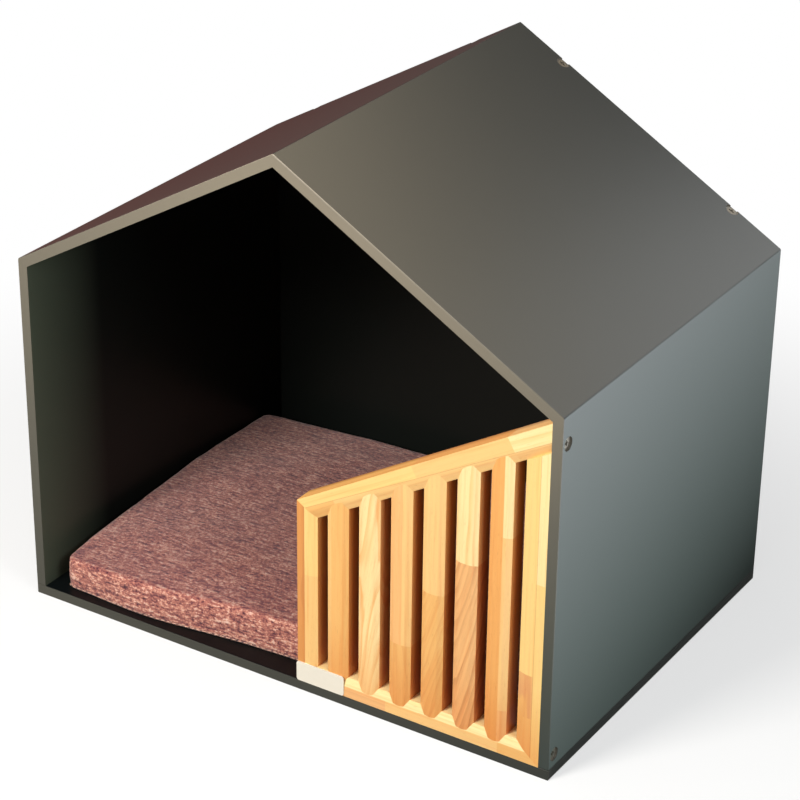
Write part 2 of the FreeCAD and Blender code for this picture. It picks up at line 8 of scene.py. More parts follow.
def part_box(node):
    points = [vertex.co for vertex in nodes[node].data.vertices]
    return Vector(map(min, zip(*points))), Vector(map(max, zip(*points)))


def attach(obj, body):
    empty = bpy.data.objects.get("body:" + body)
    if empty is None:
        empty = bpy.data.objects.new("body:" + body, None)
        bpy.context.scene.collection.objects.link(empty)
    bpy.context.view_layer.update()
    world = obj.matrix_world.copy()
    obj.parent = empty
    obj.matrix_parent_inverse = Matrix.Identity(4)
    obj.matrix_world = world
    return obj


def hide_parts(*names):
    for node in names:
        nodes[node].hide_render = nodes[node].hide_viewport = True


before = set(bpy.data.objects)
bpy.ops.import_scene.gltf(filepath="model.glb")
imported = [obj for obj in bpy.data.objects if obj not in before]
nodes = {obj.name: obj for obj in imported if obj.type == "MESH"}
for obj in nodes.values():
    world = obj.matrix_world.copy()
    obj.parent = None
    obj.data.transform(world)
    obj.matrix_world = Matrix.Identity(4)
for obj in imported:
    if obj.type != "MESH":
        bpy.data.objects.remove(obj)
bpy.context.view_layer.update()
print("frame loaded:", len(nodes), "nodes")

# Sizes of the house that the finishes line up with, in metres
house = {
    "width": 0.5,
    "depth": 0.36,
    "eave": 0.311,
    "ridge": 0.456,
    "board": 0.009,
}
gate = {
    "left": 0.0194,
    "right": 0.241,
    "bottom": 0.009,
    "leftTop": 0.174,
    "rightTop": 0.30462,
    "thickness": 0.018,
}
roofSlope = math.atan2(house["ridge"] - house["eave"], house["width"] / 2)
railSlope = math.atan2(gate["rightTop"] - gate["leftTop"], gate["right"] - gate["left"])
roofAt = house["ridge"] * math.cos(roofSlope)
frontY = -house["depth"] / 2
hair = 0.0002  # how far off a face may be when it is told from its neighbours


# Camera at the photograph's viewing angle

camera = {
    "azimuth": 32.1828,
    "elevation": 27.0426,
    "roll": 0.7417,
    "place": (1.0157, -1.6151, 1.1526),
    "focalPixels": 2584.83,
    "imagePixels": 800,
    "sensor": 36,
    "reach": 60,
}


def makeCamera():
    azimuth, elevation, roll = (math.radians(camera[k]) for k in ("azimuth", "elevation", "roll"))
    back = Vector((math.sin(azimuth) * math.cos(elevation),
                   -math.cos(azimuth) * math.cos(elevation), math.sin(elevation)))
    level = Vector((math.cos(azimuth), math.sin(azimuth), 0))
    upright = back.cross(level)
    right = math.cos(roll) * level + math.sin(roll) * upright
    up = back.cross(right)
    data = bpy.data.cameras.new("photoCamera")
    data.sensor_width = camera["sensor"]
    data.lens = camera["focalPixels"] / camera["imagePixels"] * camera["sensor"]
    data.clip_end = camera["reach"]
    item = bpy.data.objects.new("photoCamera", data)
    axes = Matrix((right, up, back)).transposed().to_4x4()
    item.matrix_world = Matrix.Translation(camera["place"]) @ axes
    bpy.context.scene.collection.objects.link(item)
    bpy.context.scene.camera = item


makeCamera()


# Helpers for node trees and finishes

def srgb(code):
    # Linear colour of a hex code such as "c98a45".
    parts = [int(code[i:i + 2], 16) / 255 for i in (0, 2, 4)]
    return [p / 12.92 if p <= 0.04045 else ((p + 0.055) / 1.055) ** 2.4 for p in parts] + [1]


def put(tree, kind, inputs=None, **settings):
    item = tree.nodes.new(kind)
    for name, setting in settings.items():
        setattr(item, name, setting)
    for name, source in (inputs or {}).items():
        if isinstance(source, bpy.types.NodeSocket):
            tree.links.new(source, item.inputs[name])
        else:
            item.inputs[name].default_value = source
    return item


def calc(tree, operation, *sources, clamp=False):
    item = put(tree, "ShaderNodeMath", dict(enumerate(sources)), operation=operation,
               use_clamp=clamp)
    return item.outputs[0]


def along(tree, point, direction):
    item = put(tree, "ShaderNodeVectorMath", {0: point, 1: direction}, operation="DOT_PRODUCT")
    return item.outputs["Value"]


def grain(tree, point, scale, stretch=(1, 1, 1), detail=3, roughness=0.5):
    stretched = put(tree, "ShaderNodeVectorMath", {0: point, 1: stretch}, operation="MULTIPLY")
    item = put(tree, "ShaderNodeTexNoise", {"Vector": stretched.outputs[0], "Scale": scale,
                                            "Detail": detail, "Roughness": roughness})
    return item.outputs["Fac"]


def blendColour(tree, factor, first, second, kind="MIX"):
    item = put(tree, "ShaderNodeMix", data_type="RGBA", blend_type=kind)
    for index, source in ((0, factor), (6, first), (7, second)):
        if isinstance(source, bpy.types.NodeSocket):
            tree.links.new(source, item.inputs[index])
        else:
            item.inputs[index].default_value = source
    return item.outputs[2]


def spread(tree, source, low, high, newLow=0.0, newHigh=1.0, smooth=False):
    kind = "SMOOTHSTEP" if smooth else "LINEAR"
    item = put(tree, "ShaderNodeMapRange", {0: source, 1: low, 2: high, 3: newLow, 4: newHigh},
               interpolation_type=kind)
    return item.outputs[0]


def newFinish(name, roughness, specular=0.5):
    # A material with its tree, its shader and its Object coordinates.
    finish = bpy.data.materials.new(name)
    finish.use_nodes = True
    tree = finish.node_tree
    shader = tree.nodes["Principled BSDF"]
    shader.inputs["Roughness"].default_value = roughness
    shader.inputs["Specular IOR Level"].default_value = specular
    return finish, tree, shader, tree.nodes.new("ShaderNodeTexCoord").outputs["Object"]


def addBump(tree, shader, height, distance):
    bump = put(tree, "ShaderNodeBump", {"Height": height, "Distance": distance, "Strength": 1.0})
    tree.links.new(bump.outputs["Normal"], shader.inputs["Normal"])


def dress(label, finish):
    nodes[label].data.materials.clear()
    nodes[label].data.materials.append(finish)


# Lacquered boards

lacquer = {
    "roughness": 0.36,
    "gloss": 0.5,
    "dullGloss": 0.15,
    "jointWidth": 0.0009,
    "outer": "373937",
    "outerDeep": "343634",
    "cloudScale": 9,
    # Inside the house: a darker inner paint with painted shade, lighter at the opening and darkest
    # deep in
    "inner": "151816",
    "wallFront": "586152",
    "floorFront": "090d0f",
    "frontReach": 0.09,
    # Front edge tones, graded by place as painted reflection and light
    "edgeTop": "81796a",
    "edgeMiddle": "5b5950",
    "edgeBottom": "2e322f",
    "edgeLightSteps": (-0.08, 0.2, 0.42),
    "edgeLightLevel": 0.3,
    # Painted highlight on the front arrises, with some rubbed lacquer
    "arris": "b5aa98",
    "arrisWidth": 0.0007,
    "arrisHighlightSpan": (0.1, 0.9),
    "raw": "8d867a",
    "rawDeep": "6f675c",
    "rawSkin": 0.0003,
    "chipScale": 900,
    "peel": 0.00003,
    "peelScale": 620,
    "finePeelScale": 2600,
    "finePeel": 0.35,
}


def rawMask(tree, point, planes):
    # 1 inside a board's thickness, where its drilled recesses show the bare board.
    nearest = None
    for normal, offset in planes:
        inside = calc(tree, "SUBTRACT", offset - lacquer["rawSkin"], along(tree, point, normal))
        nearest = inside if nearest is None else calc(tree, "MINIMUM", nearest, inside)
    return calc(tree, "GREATER_THAN", nearest, 0.0)


def insideMask(tree, split):
    # 1 on the faces that look into the house.
    sideways = calc(tree, "ABSOLUTE", split[0])
    roofward = calc(tree, "MULTIPLY_ADD", sideways, math.sin(roofSlope),
                    calc(tree, "MULTIPLY", split[2], math.cos(roofSlope)))
    betweenWalls = calc(tree, "LESS_THAN", sideways, house["width"] / 2 - house["board"] + hair)
    underRoof = calc(tree, "LESS_THAN", roofward, roofAt - house["board"] + hair)
    overFloor = calc(tree, "GREATER_THAN", split[2], house["board"] - hair)
    beforeRear = calc(tree, "LESS_THAN", split[1], -frontY - hair)
    inside = calc(tree, "MULTIPLY", calc(tree, "MULTIPLY", betweenWalls, underRoof), overFloor)
    return calc(tree, "MULTIPLY", inside, beforeRear)


def edgeColour(tree, split):
    # The front edges are a paler paint, graded by painted reflection and light: paler higher up;
    # under the level they are also paler on the left, and over it on the right.
    low, middle, high = lacquer["edgeLightSteps"]
    overLevel = calc(tree, "SUBTRACT", split[2], lacquer["edgeLightLevel"])
    edgeLight = calc(tree, "MULTIPLY_ADD", overLevel, split[0], split[2])
    lower = blendColour(tree, spread(tree, edgeLight, low, middle),
                        srgb(lacquer["edgeBottom"]), srgb(lacquer["edgeMiddle"]))
    return blendColour(tree, spread(tree, edgeLight, middle, high), lower, srgb(lacquer["edgeTop"]))


def makeLacquer(name, planes, innerFront):
    # planes are the board's faces as outward normals and offsets.
    finish, tree, shader, point = newFinish(name, lacquer["roughness"])
    split = put(tree, "ShaderNodeSeparateXYZ", {0: point}).outputs
    inside = insideMask(tree, split)
    cloud = grain(tree, point, lacquer["cloudScale"], detail=2)
    outer = blendColour(tree, cloud, srgb(lacquer["outer"]), srgb(lacquer["outerDeep"]))
    # Inside, the paint is painted lighter near the opening and darker deeper in: painted shade over
    # a
    # darker inner paint. The floor board's inside is painted darkest at the opening, as painted
    # shade.
    nearFront = spread(tree, split[1], frontY + lacquer["frontReach"], frontY)
    inner = blendColour(tree, nearFront, srgb(lacquer["inner"]), srgb(innerFront))
    paint = blendColour(tree, inside, outer, inner)
    # A painted highlight on the front arrises, with some rubbed lacquer, most of all towards the
    # ridge
    arris = calc(tree, "LESS_THAN", split[1], frontY + lacquer["arrisWidth"])
    highlightStrength = spread(tree, split[2], house["eave"], house["ridge"], *lacquer["arrisHighlightSpan"])
    arris = calc(tree, "MULTIPLY", calc(tree, "MULTIPLY", arris, highlightStrength),
                 calc(tree, "SUBTRACT", 1.0, inside))
    paint = blendColour(tree, arris, paint, srgb(lacquer["arris"]))
    # The front edges take their tones, with painted reflection and light
    front = calc(tree, "LESS_THAN", split[1], frontY + hair)
    paint = blendColour(tree, front, paint, edgeColour(tree, split))
    chips = grain(tree, point, lacquer["chipScale"], detail=4)
    raw = blendColour(tree, chips, srgb(lacquer["raw"]), srgb(lacquer["rawDeep"]))
    paint = blendColour(tree, rawMask(tree, point, planes), paint, raw)
    tree.links.new(paint, shader.inputs["Base Color"])
    peel = calc(tree, "MULTIPLY_ADD", grain(tree, point, lacquer["finePeelScale"], detail=1),
                lacquer["finePeel"], grain(tree, point, lacquer["peelScale"], detail=2))
    addBump(tree, shader, peel, lacquer["peel"])
    # Inside, and along the joint of the walls with the floor board, the lacquer is duller
    joint = calc(tree, "MULTIPLY",
                 calc(tree, "COMPARE", split[2], house["board"], lacquer["jointWidth"]),
                 calc(tree, "LESS_THAN", split[1], frontY + lacquer["jointWidth"]))
    dull = calc(tree, "MAXIMUM", inside, joint)
    tree.links.new(spread(tree, dull, 0.0, 1.0, lacquer["gloss"], lacquer["dullGloss"]),
                   shader.inputs["Specular IOR Level"])
    return finish


def boardPlanes():
    # Each board's faces, so that its recesses can be told from its outside.
    halfWidth, halfDepth, board = house["width"] / 2, house["depth"] / 2, house["board"]
    ends = [((0, 1, 0), halfDepth), ((0, -1, 0), halfDepth)]
    planes = {
        "floor_board": ends + [((1, 0, 0), halfWidth), ((-1, 0, 0), halfWidth),
                               ((0, 0, 1), board), ((0, 0, -1), 0)],
        "back_panel": [((0, 1, 0), halfDepth), ((0, -1, 0), board - halfDepth),
                       ((1, 0, 0), halfWidth - board), ((-1, 0, 0), halfWidth - board),
                       ((0, 0, -1), -board)],
    }
    for side, wall, roof in ((-1, "left_wall", "left_roof"), (1, "right_wall", "right_roof")):
        out, back = (side, 0, 0), (-side, 0, 0)
        up = (side * math.sin(roofSlope), 0, math.cos(roofSlope))
        under = (-up[0], 0, -up[2])
        planes[wall] = ends + [(out, halfWidth), (back, board - halfWidth),
                               ((0, 0, -1), -board), (up, roofAt - board)]
        planes[roof] = ends + [(up, roofAt), (under, board - roofAt),
                               (back, 0), (out, halfWidth - board)]
    return planes


for label, planes in boardPlanes().items():
    innerFront = lacquer["floorFront" if label == "floor_board" else "wallFront"]
    dress(label, makeLacquer(label + "_lacquer", planes, innerFront))
print("boards finished")


# Gate timber: each piece has its own grain, and glued blocks where the real one has them

tones = {
    "cream": "fbe0a4",
    "butter": "f6cf82",
    "pale": "f4c781",
    "honey": "eeb970",
    "peach": "f2bb7c",
    "amber": "edab60",
    "orange": "dd9852",
    "tan": "bf7c46",
    "rose": "de9c6a",
    "deep": "a85f2c",
}
timber = {
    "roughness": 0.42,
    "gloss": 0.5,
    "coat": 0.15,
    "coatRoughness": 0.3,
    "relief": 0.00006,
    "ringsPerMetre": 260,
    "ringWarp": 0.012,
    "lateWood": (0.2, 0.9, 1.0),
    "faintest": 0.25,
    "ringRelief": 0.3,
    "ringContrast": 0.6,
    "fibreContrast": 0.4,
    "fibreMiddle": 0.4,
    "broadContrast": 0.5,
    "broadMiddle": 0.35,
    "streak": 0.3,
    "streakSpan": (0.5, 0.72),
    "pore": 0.3,
    "poreSpan": (0.66, 0.76),
    "glueLine": 0.45,
    "blockShift": 0.02,
    # How far up from the foot the painted shade reaches
    "footShadeReach": 0.07,
    # Fineness of the patterns across the grain, into the gate and along the grain
    "warpScale": (45, 45, 9),
    "fibreScale": (1400, 1400, 38),
    "broadScale": (120, 120, 6),
    "streakScale": (330, 330, 7),
    "poreScale": (3200, 3200, 150),
    # Painted shade on the faces between the slats and on the rail's top, from near to far into the
    # gate, and where it starts
    "sideNear": "ffdcc0",
    "sideFar": "9c7350",
    "frameSideFrom": 0.0022,
    "slatSideFrom": 0.0024,
    "capNear": "ffe4d6",
    "capFar": "c8a4a4",
    "capFrom": 0.011,
    "facingLimit": 0.7,
}


def spanMask(tree, source, span):
    # 1 where source lies within the span.
    return calc(tree, "COMPARE", source, (span[0] + span[1]) / 2, (span[1] - span[0]) / 2)


def layBlocks(tree, u, v, blocks, base):
    # The grain's shift, lean, strength and colours, changed inside the blocks that ask for it.
    shift, lean, figure = 0.0, base["lean"], base["figure"]
    pale, deep = srgb(tones[base["pale"]]), srgb(tones[base["deep"]])
    for block in blocks:
        drifted = calc(tree, "MULTIPLY_ADD", u, -block.get("slant", 0.0), v)
        mask = calc(tree, "MULTIPLY", spanMask(tree, u, block.get("u", (-1, 1))),
                    spanMask(tree, drifted, block.get("v", (-1, 1))))
        moreLean = block.get("lean", base["lean"]) - base["lean"]
        moreFigure = block.get("figure", base["figure"]) - base["figure"]
        shift = calc(tree, "MULTIPLY_ADD", mask, block.get("shift", timber["blockShift"]), shift)
        lean = calc(tree, "MULTIPLY_ADD", mask, moreLean, lean)
        figure = calc(tree, "MULTIPLY_ADD", mask, moreFigure, figure)
        pale = blendColour(tree, mask, pale, srgb(tones[block["pale"]]))
        deep = blendColour(tree, mask, deep, srgb(tones[block["deep"]]))
    return shift, lean, figure, pale, deep


def growthRings(tree, local, side, w, pith):
    # Rises through each ring to its late wood, which is stronger in some rings than in others.
    warp = calc(tree, "SUBTRACT", grain(tree, local, 1, timber["warpScale"], detail=2), 0.5)
    ringV, ringW = calc(tree, "SUBTRACT", side, pith[0]), calc(tree, "SUBTRACT", w, pith[1])
    radius = calc(tree, "SQRT", calc(tree, "ADD", calc(tree, "MULTIPLY", ringV, ringV),
                                     calc(tree, "MULTIPLY", ringW, ringW)))
    radius = calc(tree, "MULTIPLY_ADD", warp, timber["ringWarp"], radius)
    rings = calc(tree, "MULTIPLY", radius, timber["ringsPerMetre"])
    turn = calc(tree, "FRACT", rings)
    chance = put(tree, "ShaderNodeTexWhiteNoise", {"W": calc(tree, "FLOOR", rings)},
                 noise_dimensions="1D").outputs["Value"]
    start, peak, end = timber["lateWood"]
    ring = calc(tree, "MULTIPLY", spread(tree, turn, start, peak, smooth=True),
                spread(tree, turn, peak, end, 1.0, 0.0, smooth=True))
    return calc(tree, "MULTIPLY", ring, spread(tree, chance, 0.0, 1.0, timber["faintest"], 1.0))


def grainColour(tree, local, ring, fibre, pale, deep):
    # Rings, fibres and broad bands lead from the pale tone to the deep one, and streaks and pores
    # go over them.
    broad = grain(tree, local, 1, timber["broadScale"], detail=2)
    offFibre = calc(tree, "SUBTRACT", fibre, timber["fibreMiddle"])
    offBroad = calc(tree, "SUBTRACT", broad, timber["broadMiddle"])
    tone = calc(tree, "MULTIPLY", ring, timber["ringContrast"])
    tone = calc(tree, "MULTIPLY_ADD", offFibre, timber["fibreContrast"], tone)
    tone = calc(tree, "MULTIPLY_ADD", offBroad, timber["broadContrast"], tone, clamp=True)
    colour = blendColour(tree, tone, pale, deep)
    streaks = grain(tree, local, 1, timber["streakScale"], detail=3, roughness=0.65)
    streaks = calc(tree, "MULTIPLY", spread(tree, streaks, *timber["streakSpan"]), timber["streak"])
    colour = blendColour(tree, streaks, colour, srgb(tones["amber"]), "MULTIPLY")
    pores = grain(tree, local, 1, timber["poreScale"], detail=1)
    pores = calc(tree, "MULTIPLY", spread(tree, pores, *timber["poreSpan"]), timber["pore"])
    return blendColour(tree, pores, colour, srgb(tones["deep"]), "MULTIPLY")


def shadeFaces(tree, shader, colour, w, shades):
    # Paints shade on the faces that look a shade's way, darker deeper into the gate: painted shade
    # between the parts. Those that look up have no varnish.
    facing = tree.nodes.new("ShaderNodeNewGeometry").outputs["True Normal"]
    for looking, near, far, start in shades:
        turned = calc(tree, "GREATER_THAN", along(tree, facing, looking), timber["facingLimit"])
        tint = blendColour(tree, spread(tree, w, start, gate["thickness"]), srgb(near), srgb(far))
        colour = blendColour(tree, turned, colour, tint, "MULTIPLY")
        if looking[2] > timber["facingLimit"]:
            varnish = calc(tree, "SUBTRACT", 1.0, turned)
            tree.links.new(calc(tree, "MULTIPLY", varnish, timber["gloss"]),
                           shader.inputs["Specular IOR Level"])
            tree.links.new(calc(tree, "MULTIPLY", varnish, timber["coat"]),
                           shader.inputs["Coat Weight"])
    return colour


def makeTimber(name, origin, direction, pale, deep, pith, lean=0.0, figure=1.0, blocks=(),
               glueAt=None, shades=(), footShade=0.0):
    # u runs along the grain from origin, v across it and w into the gate. A block may drift across
    # by its slant for each metre along. glueAt is a glue line's place across and its slant. The
    # foot
    # value is painted shade: how much darker the colour is painted down to the origin.
    finish, tree, shader, point = newFinish(name, timber["roughness"], timber["gloss"])
    shader.inputs["Coat Weight"].default_value = timber["coat"]
    shader.inputs["Coat Roughness"].default_value = timber["coatRoughness"]
    lengthwise = Vector(direction).normalized()
    across = Vector((lengthwise.z, 0, -lengthwise.x))
    axes = (lengthwise, across, Vector((0, 1, 0)))
    moved = put(tree, "ShaderNodeVectorMath", {0: point, 1: origin}, operation="SUBTRACT")
    u, v, w = (along(tree, moved.outputs[0], tuple(axis)) for axis in axes)
    base = {"lean": lean, "figure": figure, "pale": pale, "deep": deep}
    shift, leaning, strength, paleColour, deepColour = layBlocks(tree, u, v, blocks, base)
    side = calc(tree, "SUBTRACT", calc(tree, "ADD", v, shift), calc(tree, "MULTIPLY", u, leaning))
    local = put(tree, "ShaderNodeCombineXYZ", {0: side, 1: w, 2: u}).outputs[0]
    ring = growthRings(tree, local, side, w, pith)
    fibre = grain(tree, local, 1, timber["fibreScale"], detail=3, roughness=0.6)
    colour = grainColour(tree, local, calc(tree, "MULTIPLY", ring, strength), fibre,
                         paleColour, deepColour)
    if glueAt:
        drifted = calc(tree, "MULTIPLY_ADD", u, -glueAt[1], v)
        glue = calc(tree, "COMPARE", drifted, glueAt[0], hair)
        glue = calc(tree, "MULTIPLY", glue, timber["glueLine"])
        colour = blendColour(tree, glue, colour, srgb(tones["deep"]))
    # Painted shade, darker towards the foot
    if footShade:
        footShadeShare = spread(tree, u, 0.0, timber["footShadeReach"], footShade, 0.0)
        colour = blendColour(tree, footShadeShare, colour, srgb(tones["amber"]), "MULTIPLY")
    colour = shadeFaces(tree, shader, colour, w, shades)
    tree.links.new(colour, shader.inputs["Base Color"])
    relief = calc(tree, "ADD", fibre, calc(tree, "MULTIPLY", ring, timber["ringRelief"]))
    addBump(tree, shader, relief, timber["relief"])
    return finish


def sideShade(direction, start):
    # Painted shade on the faces between the gate's parts
    return direction, timber["sideNear"], timber["sideFar"], start


def finishFrame():
    up, right, left = (0, 0, 1), (1, 0, 0), (-1, 0, 0)
    rail = (math.cos(railSlope), 0, math.sin(railSlope))
    over, under = (-rail[2], 0, rail[0]), (rail[2], 0, -rail[0])
    start = timber["frameSideFrom"]
    # Painted shade on the rail's top, darker deeper into the gate
    cap = (over, timber["capNear"], timber["capFar"], timber["capFrom"])
    lowLeft = (gate["left"], frontY, gate["bottom"])
    highLeft = (gate["left"], frontY, gate["leftTop"])
    lowRight = (gate["right"], frontY, gate["bottom"])
    dress("gate_left_stile", makeTimber(
        "left_stile_timber", lowLeft, up, "pale", "honey", (0.04, 0.06), figure=0.5,
        blocks=[{"u": (0.1, 1), "pale": "butter", "deep": "pale", "shift": 0.0},
                {"v": (-0.01, 0.0067), "pale": "orange", "deep": "tan"}],
        glueAt=(0.0067, 0.0), shades=[sideShade(right, start)]))
    strip = (-0.03, -0.0076)  # of the right stile, next to the slats
    # The right stile has painted shade at its foot
    dress("gate_right_stile", makeTimber(
        "right_stile_timber", lowRight, up, "butter", "pale", (0.05, 0.03), figure=0.7, footShade=0.6,
        blocks=[{"u": (0.16, 1), "pale": "cream", "deep": "butter"},
                {"u": (0.079, 1), "v": strip, "pale": "butter", "deep": "pale", "shift": 0.0},
                {"u": (0.041, 0.079), "v": strip, "pale": "honey", "deep": "rose", "shift": 0.05,
                 "figure": 1.4},
                {"u": (-0.1, 0.041), "v": strip, "pale": "honey", "deep": "amber", "shift": 0.01}],
        glueAt=(strip[1], 0.0), shades=[sideShade(left, start)]))
    strip, slant = (0.008, 0.05), 0.0225  # of the top rail, along its lower side
    dress("gate_top_rail", makeTimber(
        "top_rail_timber", highLeft, rail, "butter", "pale", (0.06, 0.05), figure=0.6,
        blocks=[{"u": (0.12, 0.215), "pale": "pale", "deep": "honey", "shift": 0.0},
                {"u": (0.215, 0.5), "pale": "cream", "deep": "butter"},
                {"v": strip, "slant": slant, "pale": "pale", "deep": "peach"},
                {"u": (-0.1, 0.034), "v": strip, "slant": slant, "pale": "honey", "deep": "amber"}],
        glueAt=(strip[0], slant), shades=[sideShade(under, start), cap]))
    strip = (-0.0094, 0.01)  # of the bottom rail, along its lower side
    dress("gate_bottom_rail", makeTimber(
        "bottom_rail_timber", lowLeft, right, "cream", "butter", (0.05, 0.04), figure=0.6,
        blocks=[{"v": strip, "pale": "pale", "deep": "peach", "shift": 0.0},
                {"u": (-0.1, 0.083), "v": strip, "pale": "peach", "deep": "rose", "shift": 0.0},
                {"u": (0.185, 0.3), "v": strip, "pale": "honey", "deep": "amber", "shift": 0.0}]))


# The six slats from left to right, with their glued blocks
slats = [
    {"pale": "honey", "deep": "amber", "pith": (0.02, 0.03), "figure": 0.6,
     "blocks": [{"v": (-0.02, -0.0052), "pale": "pale", "deep": "honey", "shift": 0.0}]},
    {"pale": "cream", "deep": "amber", "pith": (-0.02, 0.012), "lean": 0.17, "figure": 1.0},
    {"pale": "peach", "deep": "amber", "pith": (0.05, 0.02), "figure": 0.6,
     "blocks": [{"v": (0.002, 0.02), "pale": "pale", "deep": "peach", "shift": 0.0},
                {"u": (-0.1, 0.066), "pale": "honey", "deep": "orange", "shift": 0.03}]},
    {"pale": "pale", "deep": "peach", "pith": (0.06, 0.03), "figure": 0.6,
     "blocks": [{"u": (-0.1, 0.121), "pale": "honey", "deep": "orange", "shift": 0.02, "lean": 0.3,
                 "figure": 0.8}]},
    {"pale": "cream", "deep": "honey", "pith": (0.05, 0.05), "figure": 1.0,
     "blocks": [{"u": (-0.1, 0.157), "pale": "peach", "deep": "tan", "shift": 0.01, "lean": 0.26,
                 "figure": 0.9}]},
    {"pale": "amber", "deep": "orange", "pith": (0.04, 0.03), "figure": 0.6,
     "blocks": [{"u": (0.19, 1), "v": (0.0025, 0.02), "pale": "cream", "deep": "pale",
                 "shift": 0.01},
                {"u": (0.0385, 0.19), "v": (0.0025, 0.02), "pale": "pale", "deep": "peach",
                 "shift": 0.01},
                {"u": (-0.1, 0.0385), "v": (0.0025, 0.02), "pale": "peach", "deep": "amber"}]},
]
# Painted shade at the slats' feet
slatFootShade = 0.5


def finishSlats():
    shades = [sideShade(direction, timber["slatSideFrom"]) for direction in ((1, 0, 0), (-1, 0, 0))]
    for number, slat in enumerate(slats, start=1):
        label = "gate_slat_%d" % number
        lowCorner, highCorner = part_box(label)
        origin = ((lowCorner.x + highCorner.x) / 2, frontY, gate["bottom"])
        dress(label, makeTimber("slat_%d_timber" % number, origin, (0, 0, 1), shades=shades,
                                footShade=slatFootShade, **slat))


finishFrame()
finishSlats()
print("gate finished")


# Small parts

smallFinishes = {
    "plate_enamel": {"colour": "eae5d8", "deepColour": "e6e0d2", "roughness": 0.35, "scale": 300,
                     "bump": 0.000003},
    "screw_zinc": {"colour": "8f887c", "deepColour": "6e675c", "roughness": 0.45, "scale": 1800,
                   "metallic": 0.6},
    "dowel_beech": {"colour": "d9b27c", "deepColour": "b98a52", "roughness": 0.6, "scale": 700},
}
smallParts = {
    "plate_enamel": ("name_plate",),
    "screw_zinc": ("gate_wall_screws", "back_roof_screws", "floor_wall_screws", "floor_back_screws",
                   "gate_floor_screws"),
    "dowel_beech": ("gate_slat_dowels", "gate_corner_dowels"),
}


def makePlain(name, colour, deepColour, roughness, scale, metallic=0.0, bump=0.00001):
    finish, tree, shader, point = newFinish(name, roughness)
    cloud = grain(tree, point, scale, detail=4)
    clouded = blendColour(tree, cloud, srgb(colour), srgb(deepColour))
    tree.links.new(clouded, shader.inputs["Base Color"])
    shader.inputs["Metallic"].default_value = metallic
    addBump(tree, shader, cloud, bump)
    return finish


for name, settings in smallFinishes.items():
    finish = makePlain(name, **settings)
    for label in smallParts[name]:
        dress(label, finish)
print("small parts finished")


# Cushion: a boxed pad in flecked chenille, sewn round its bottom edge

cushion = {
    "width": 0.45,
    "depth": 0.31,
    "edge": 0.0275,
    "sideRise": 0.0055,
    "crown": 0.0015,
    "corner": 0.0055,
    "bulge": 0.0005,
    "bow": 0.0075,
    "bowPlace": 0.19,
    "bowReach": 0.15,
    "bowDepth": 0.08,
    "cell": 0.006,
    "rows": 5,
    "bottomCrease": 1.0,
    "topCrease": 0.3,
    "pressure": 4.0,
    "frames": 20,
    "cap": 0.004,
    "sideShare": 0.15,
    "folds": ((14, 30, 0.0010), (45, 60, 0.0006)),
    "foldsFrom": 0.012,
    "turn": 2.5,
    "place": (-0.2254, -0.168, 0.0093),
    "stitch": 0.0044,
    "stitchSpacing": 0.0056,
    "thread": 0.0004,
    "seamHeight": 0.0012,
}
chenille = {
    "roughness": 0.85,
    "gloss": 0.25,
    "sheen": 0.25,
    "sheenRoughness": 0.5,
    "pile": 0.0016,
    "rose": "cb826f",
    "salmon": "dda48c",
    "plum": "6a3540",
    "dark": "45232c",
    "pink": "ecc6b6",
    "thread": "e6c2ae",
    "threadRoughness": 0.8,
    "threadScale": 900,
    "topShade": 0.46,
    # Fineness of the patterns along the pad, across it and up its sides
    "streakScale": (70, 420, 420),
    "fleckScale": (301, 430, 430),
    "fineScale": (900, 1300, 1300),
    "patchScale": (22, 60, 60),
    "streakShare": 0.45,
    "fineShare": 0.35,
    "fineRelief": 0.3,
    # Where in the pattern each colour starts and is fully there
    "roseSpan": (0.4, 0.56),
    "salmonSpan": (0.52, 0.62),
    "pinkSpan": (0.74, 0.82),
    "darkSpan": (0.42, 0.34),
    "topSpan": (0.45, 0.95),
    "patchSpan": (0.3, 0.7),
    "patchShade": (0.6, 1.0),
}


def makeChenille():
    finish, tree, shader, point = newFinish("cushion_chenille", chenille["roughness"],
                                            chenille["gloss"])
    # The pile lies in rows along the pad, so that the pattern folds over its front edge
    streak = grain(tree, point, 1, chenille["streakScale"], detail=3, roughness=0.6)
    fleck = grain(tree, point, 1, chenille["fleckScale"], detail=2, roughness=0.75)
    fine = grain(tree, point, 1, chenille["fineScale"], detail=1)
    patch = grain(tree, point, 1, chenille["patchScale"], detail=2)
    mixed = calc(tree, "MULTIPLY_ADD", streak, chenille["streakShare"],
                 calc(tree, "MULTIPLY", fleck, 1 - chenille["streakShare"]))
    flecked = calc(tree, "MULTIPLY_ADD", fine, chenille["fineShare"], mixed)
    colour = srgb(chenille["plum"])
    for name, pattern in (("rose", mixed), ("salmon", mixed), ("pink", flecked), ("dark", mixed)):
        there = spread(tree, pattern, *chenille[name + "Span"])
        colour = blendColour(tree, there, colour, srgb(chenille[name]))
    # The top is painted darker than the sides, in patches: painted shade
    facing = tree.nodes.new("ShaderNodeNewGeometry").outputs["Normal"]
    onTop = spread(tree, along(tree, facing, (0, 0, 1)), *chenille["topSpan"], smooth=True)
    patches = spread(tree, patch, *chenille["patchSpan"], *chenille["patchShade"])
    shade = calc(tree, "MULTIPLY", calc(tree, "MULTIPLY", onTop, patches), chenille["topShade"])
    colour = blendColour(tree, shade, colour, srgb(chenille["plum"]))
    tree.links.new(colour, shader.inputs["Base Color"])
    shader.inputs["Sheen Weight"].default_value = chenille["sheen"]
    shader.inputs["Sheen Roughness"].default_value = chenille["sheenRoughness"]
    relief = calc(tree, "MULTIPLY_ADD", fine, chenille["fineRelief"], mixed)
    addBump(tree, shader, relief, chenille["pile"])
    return finish


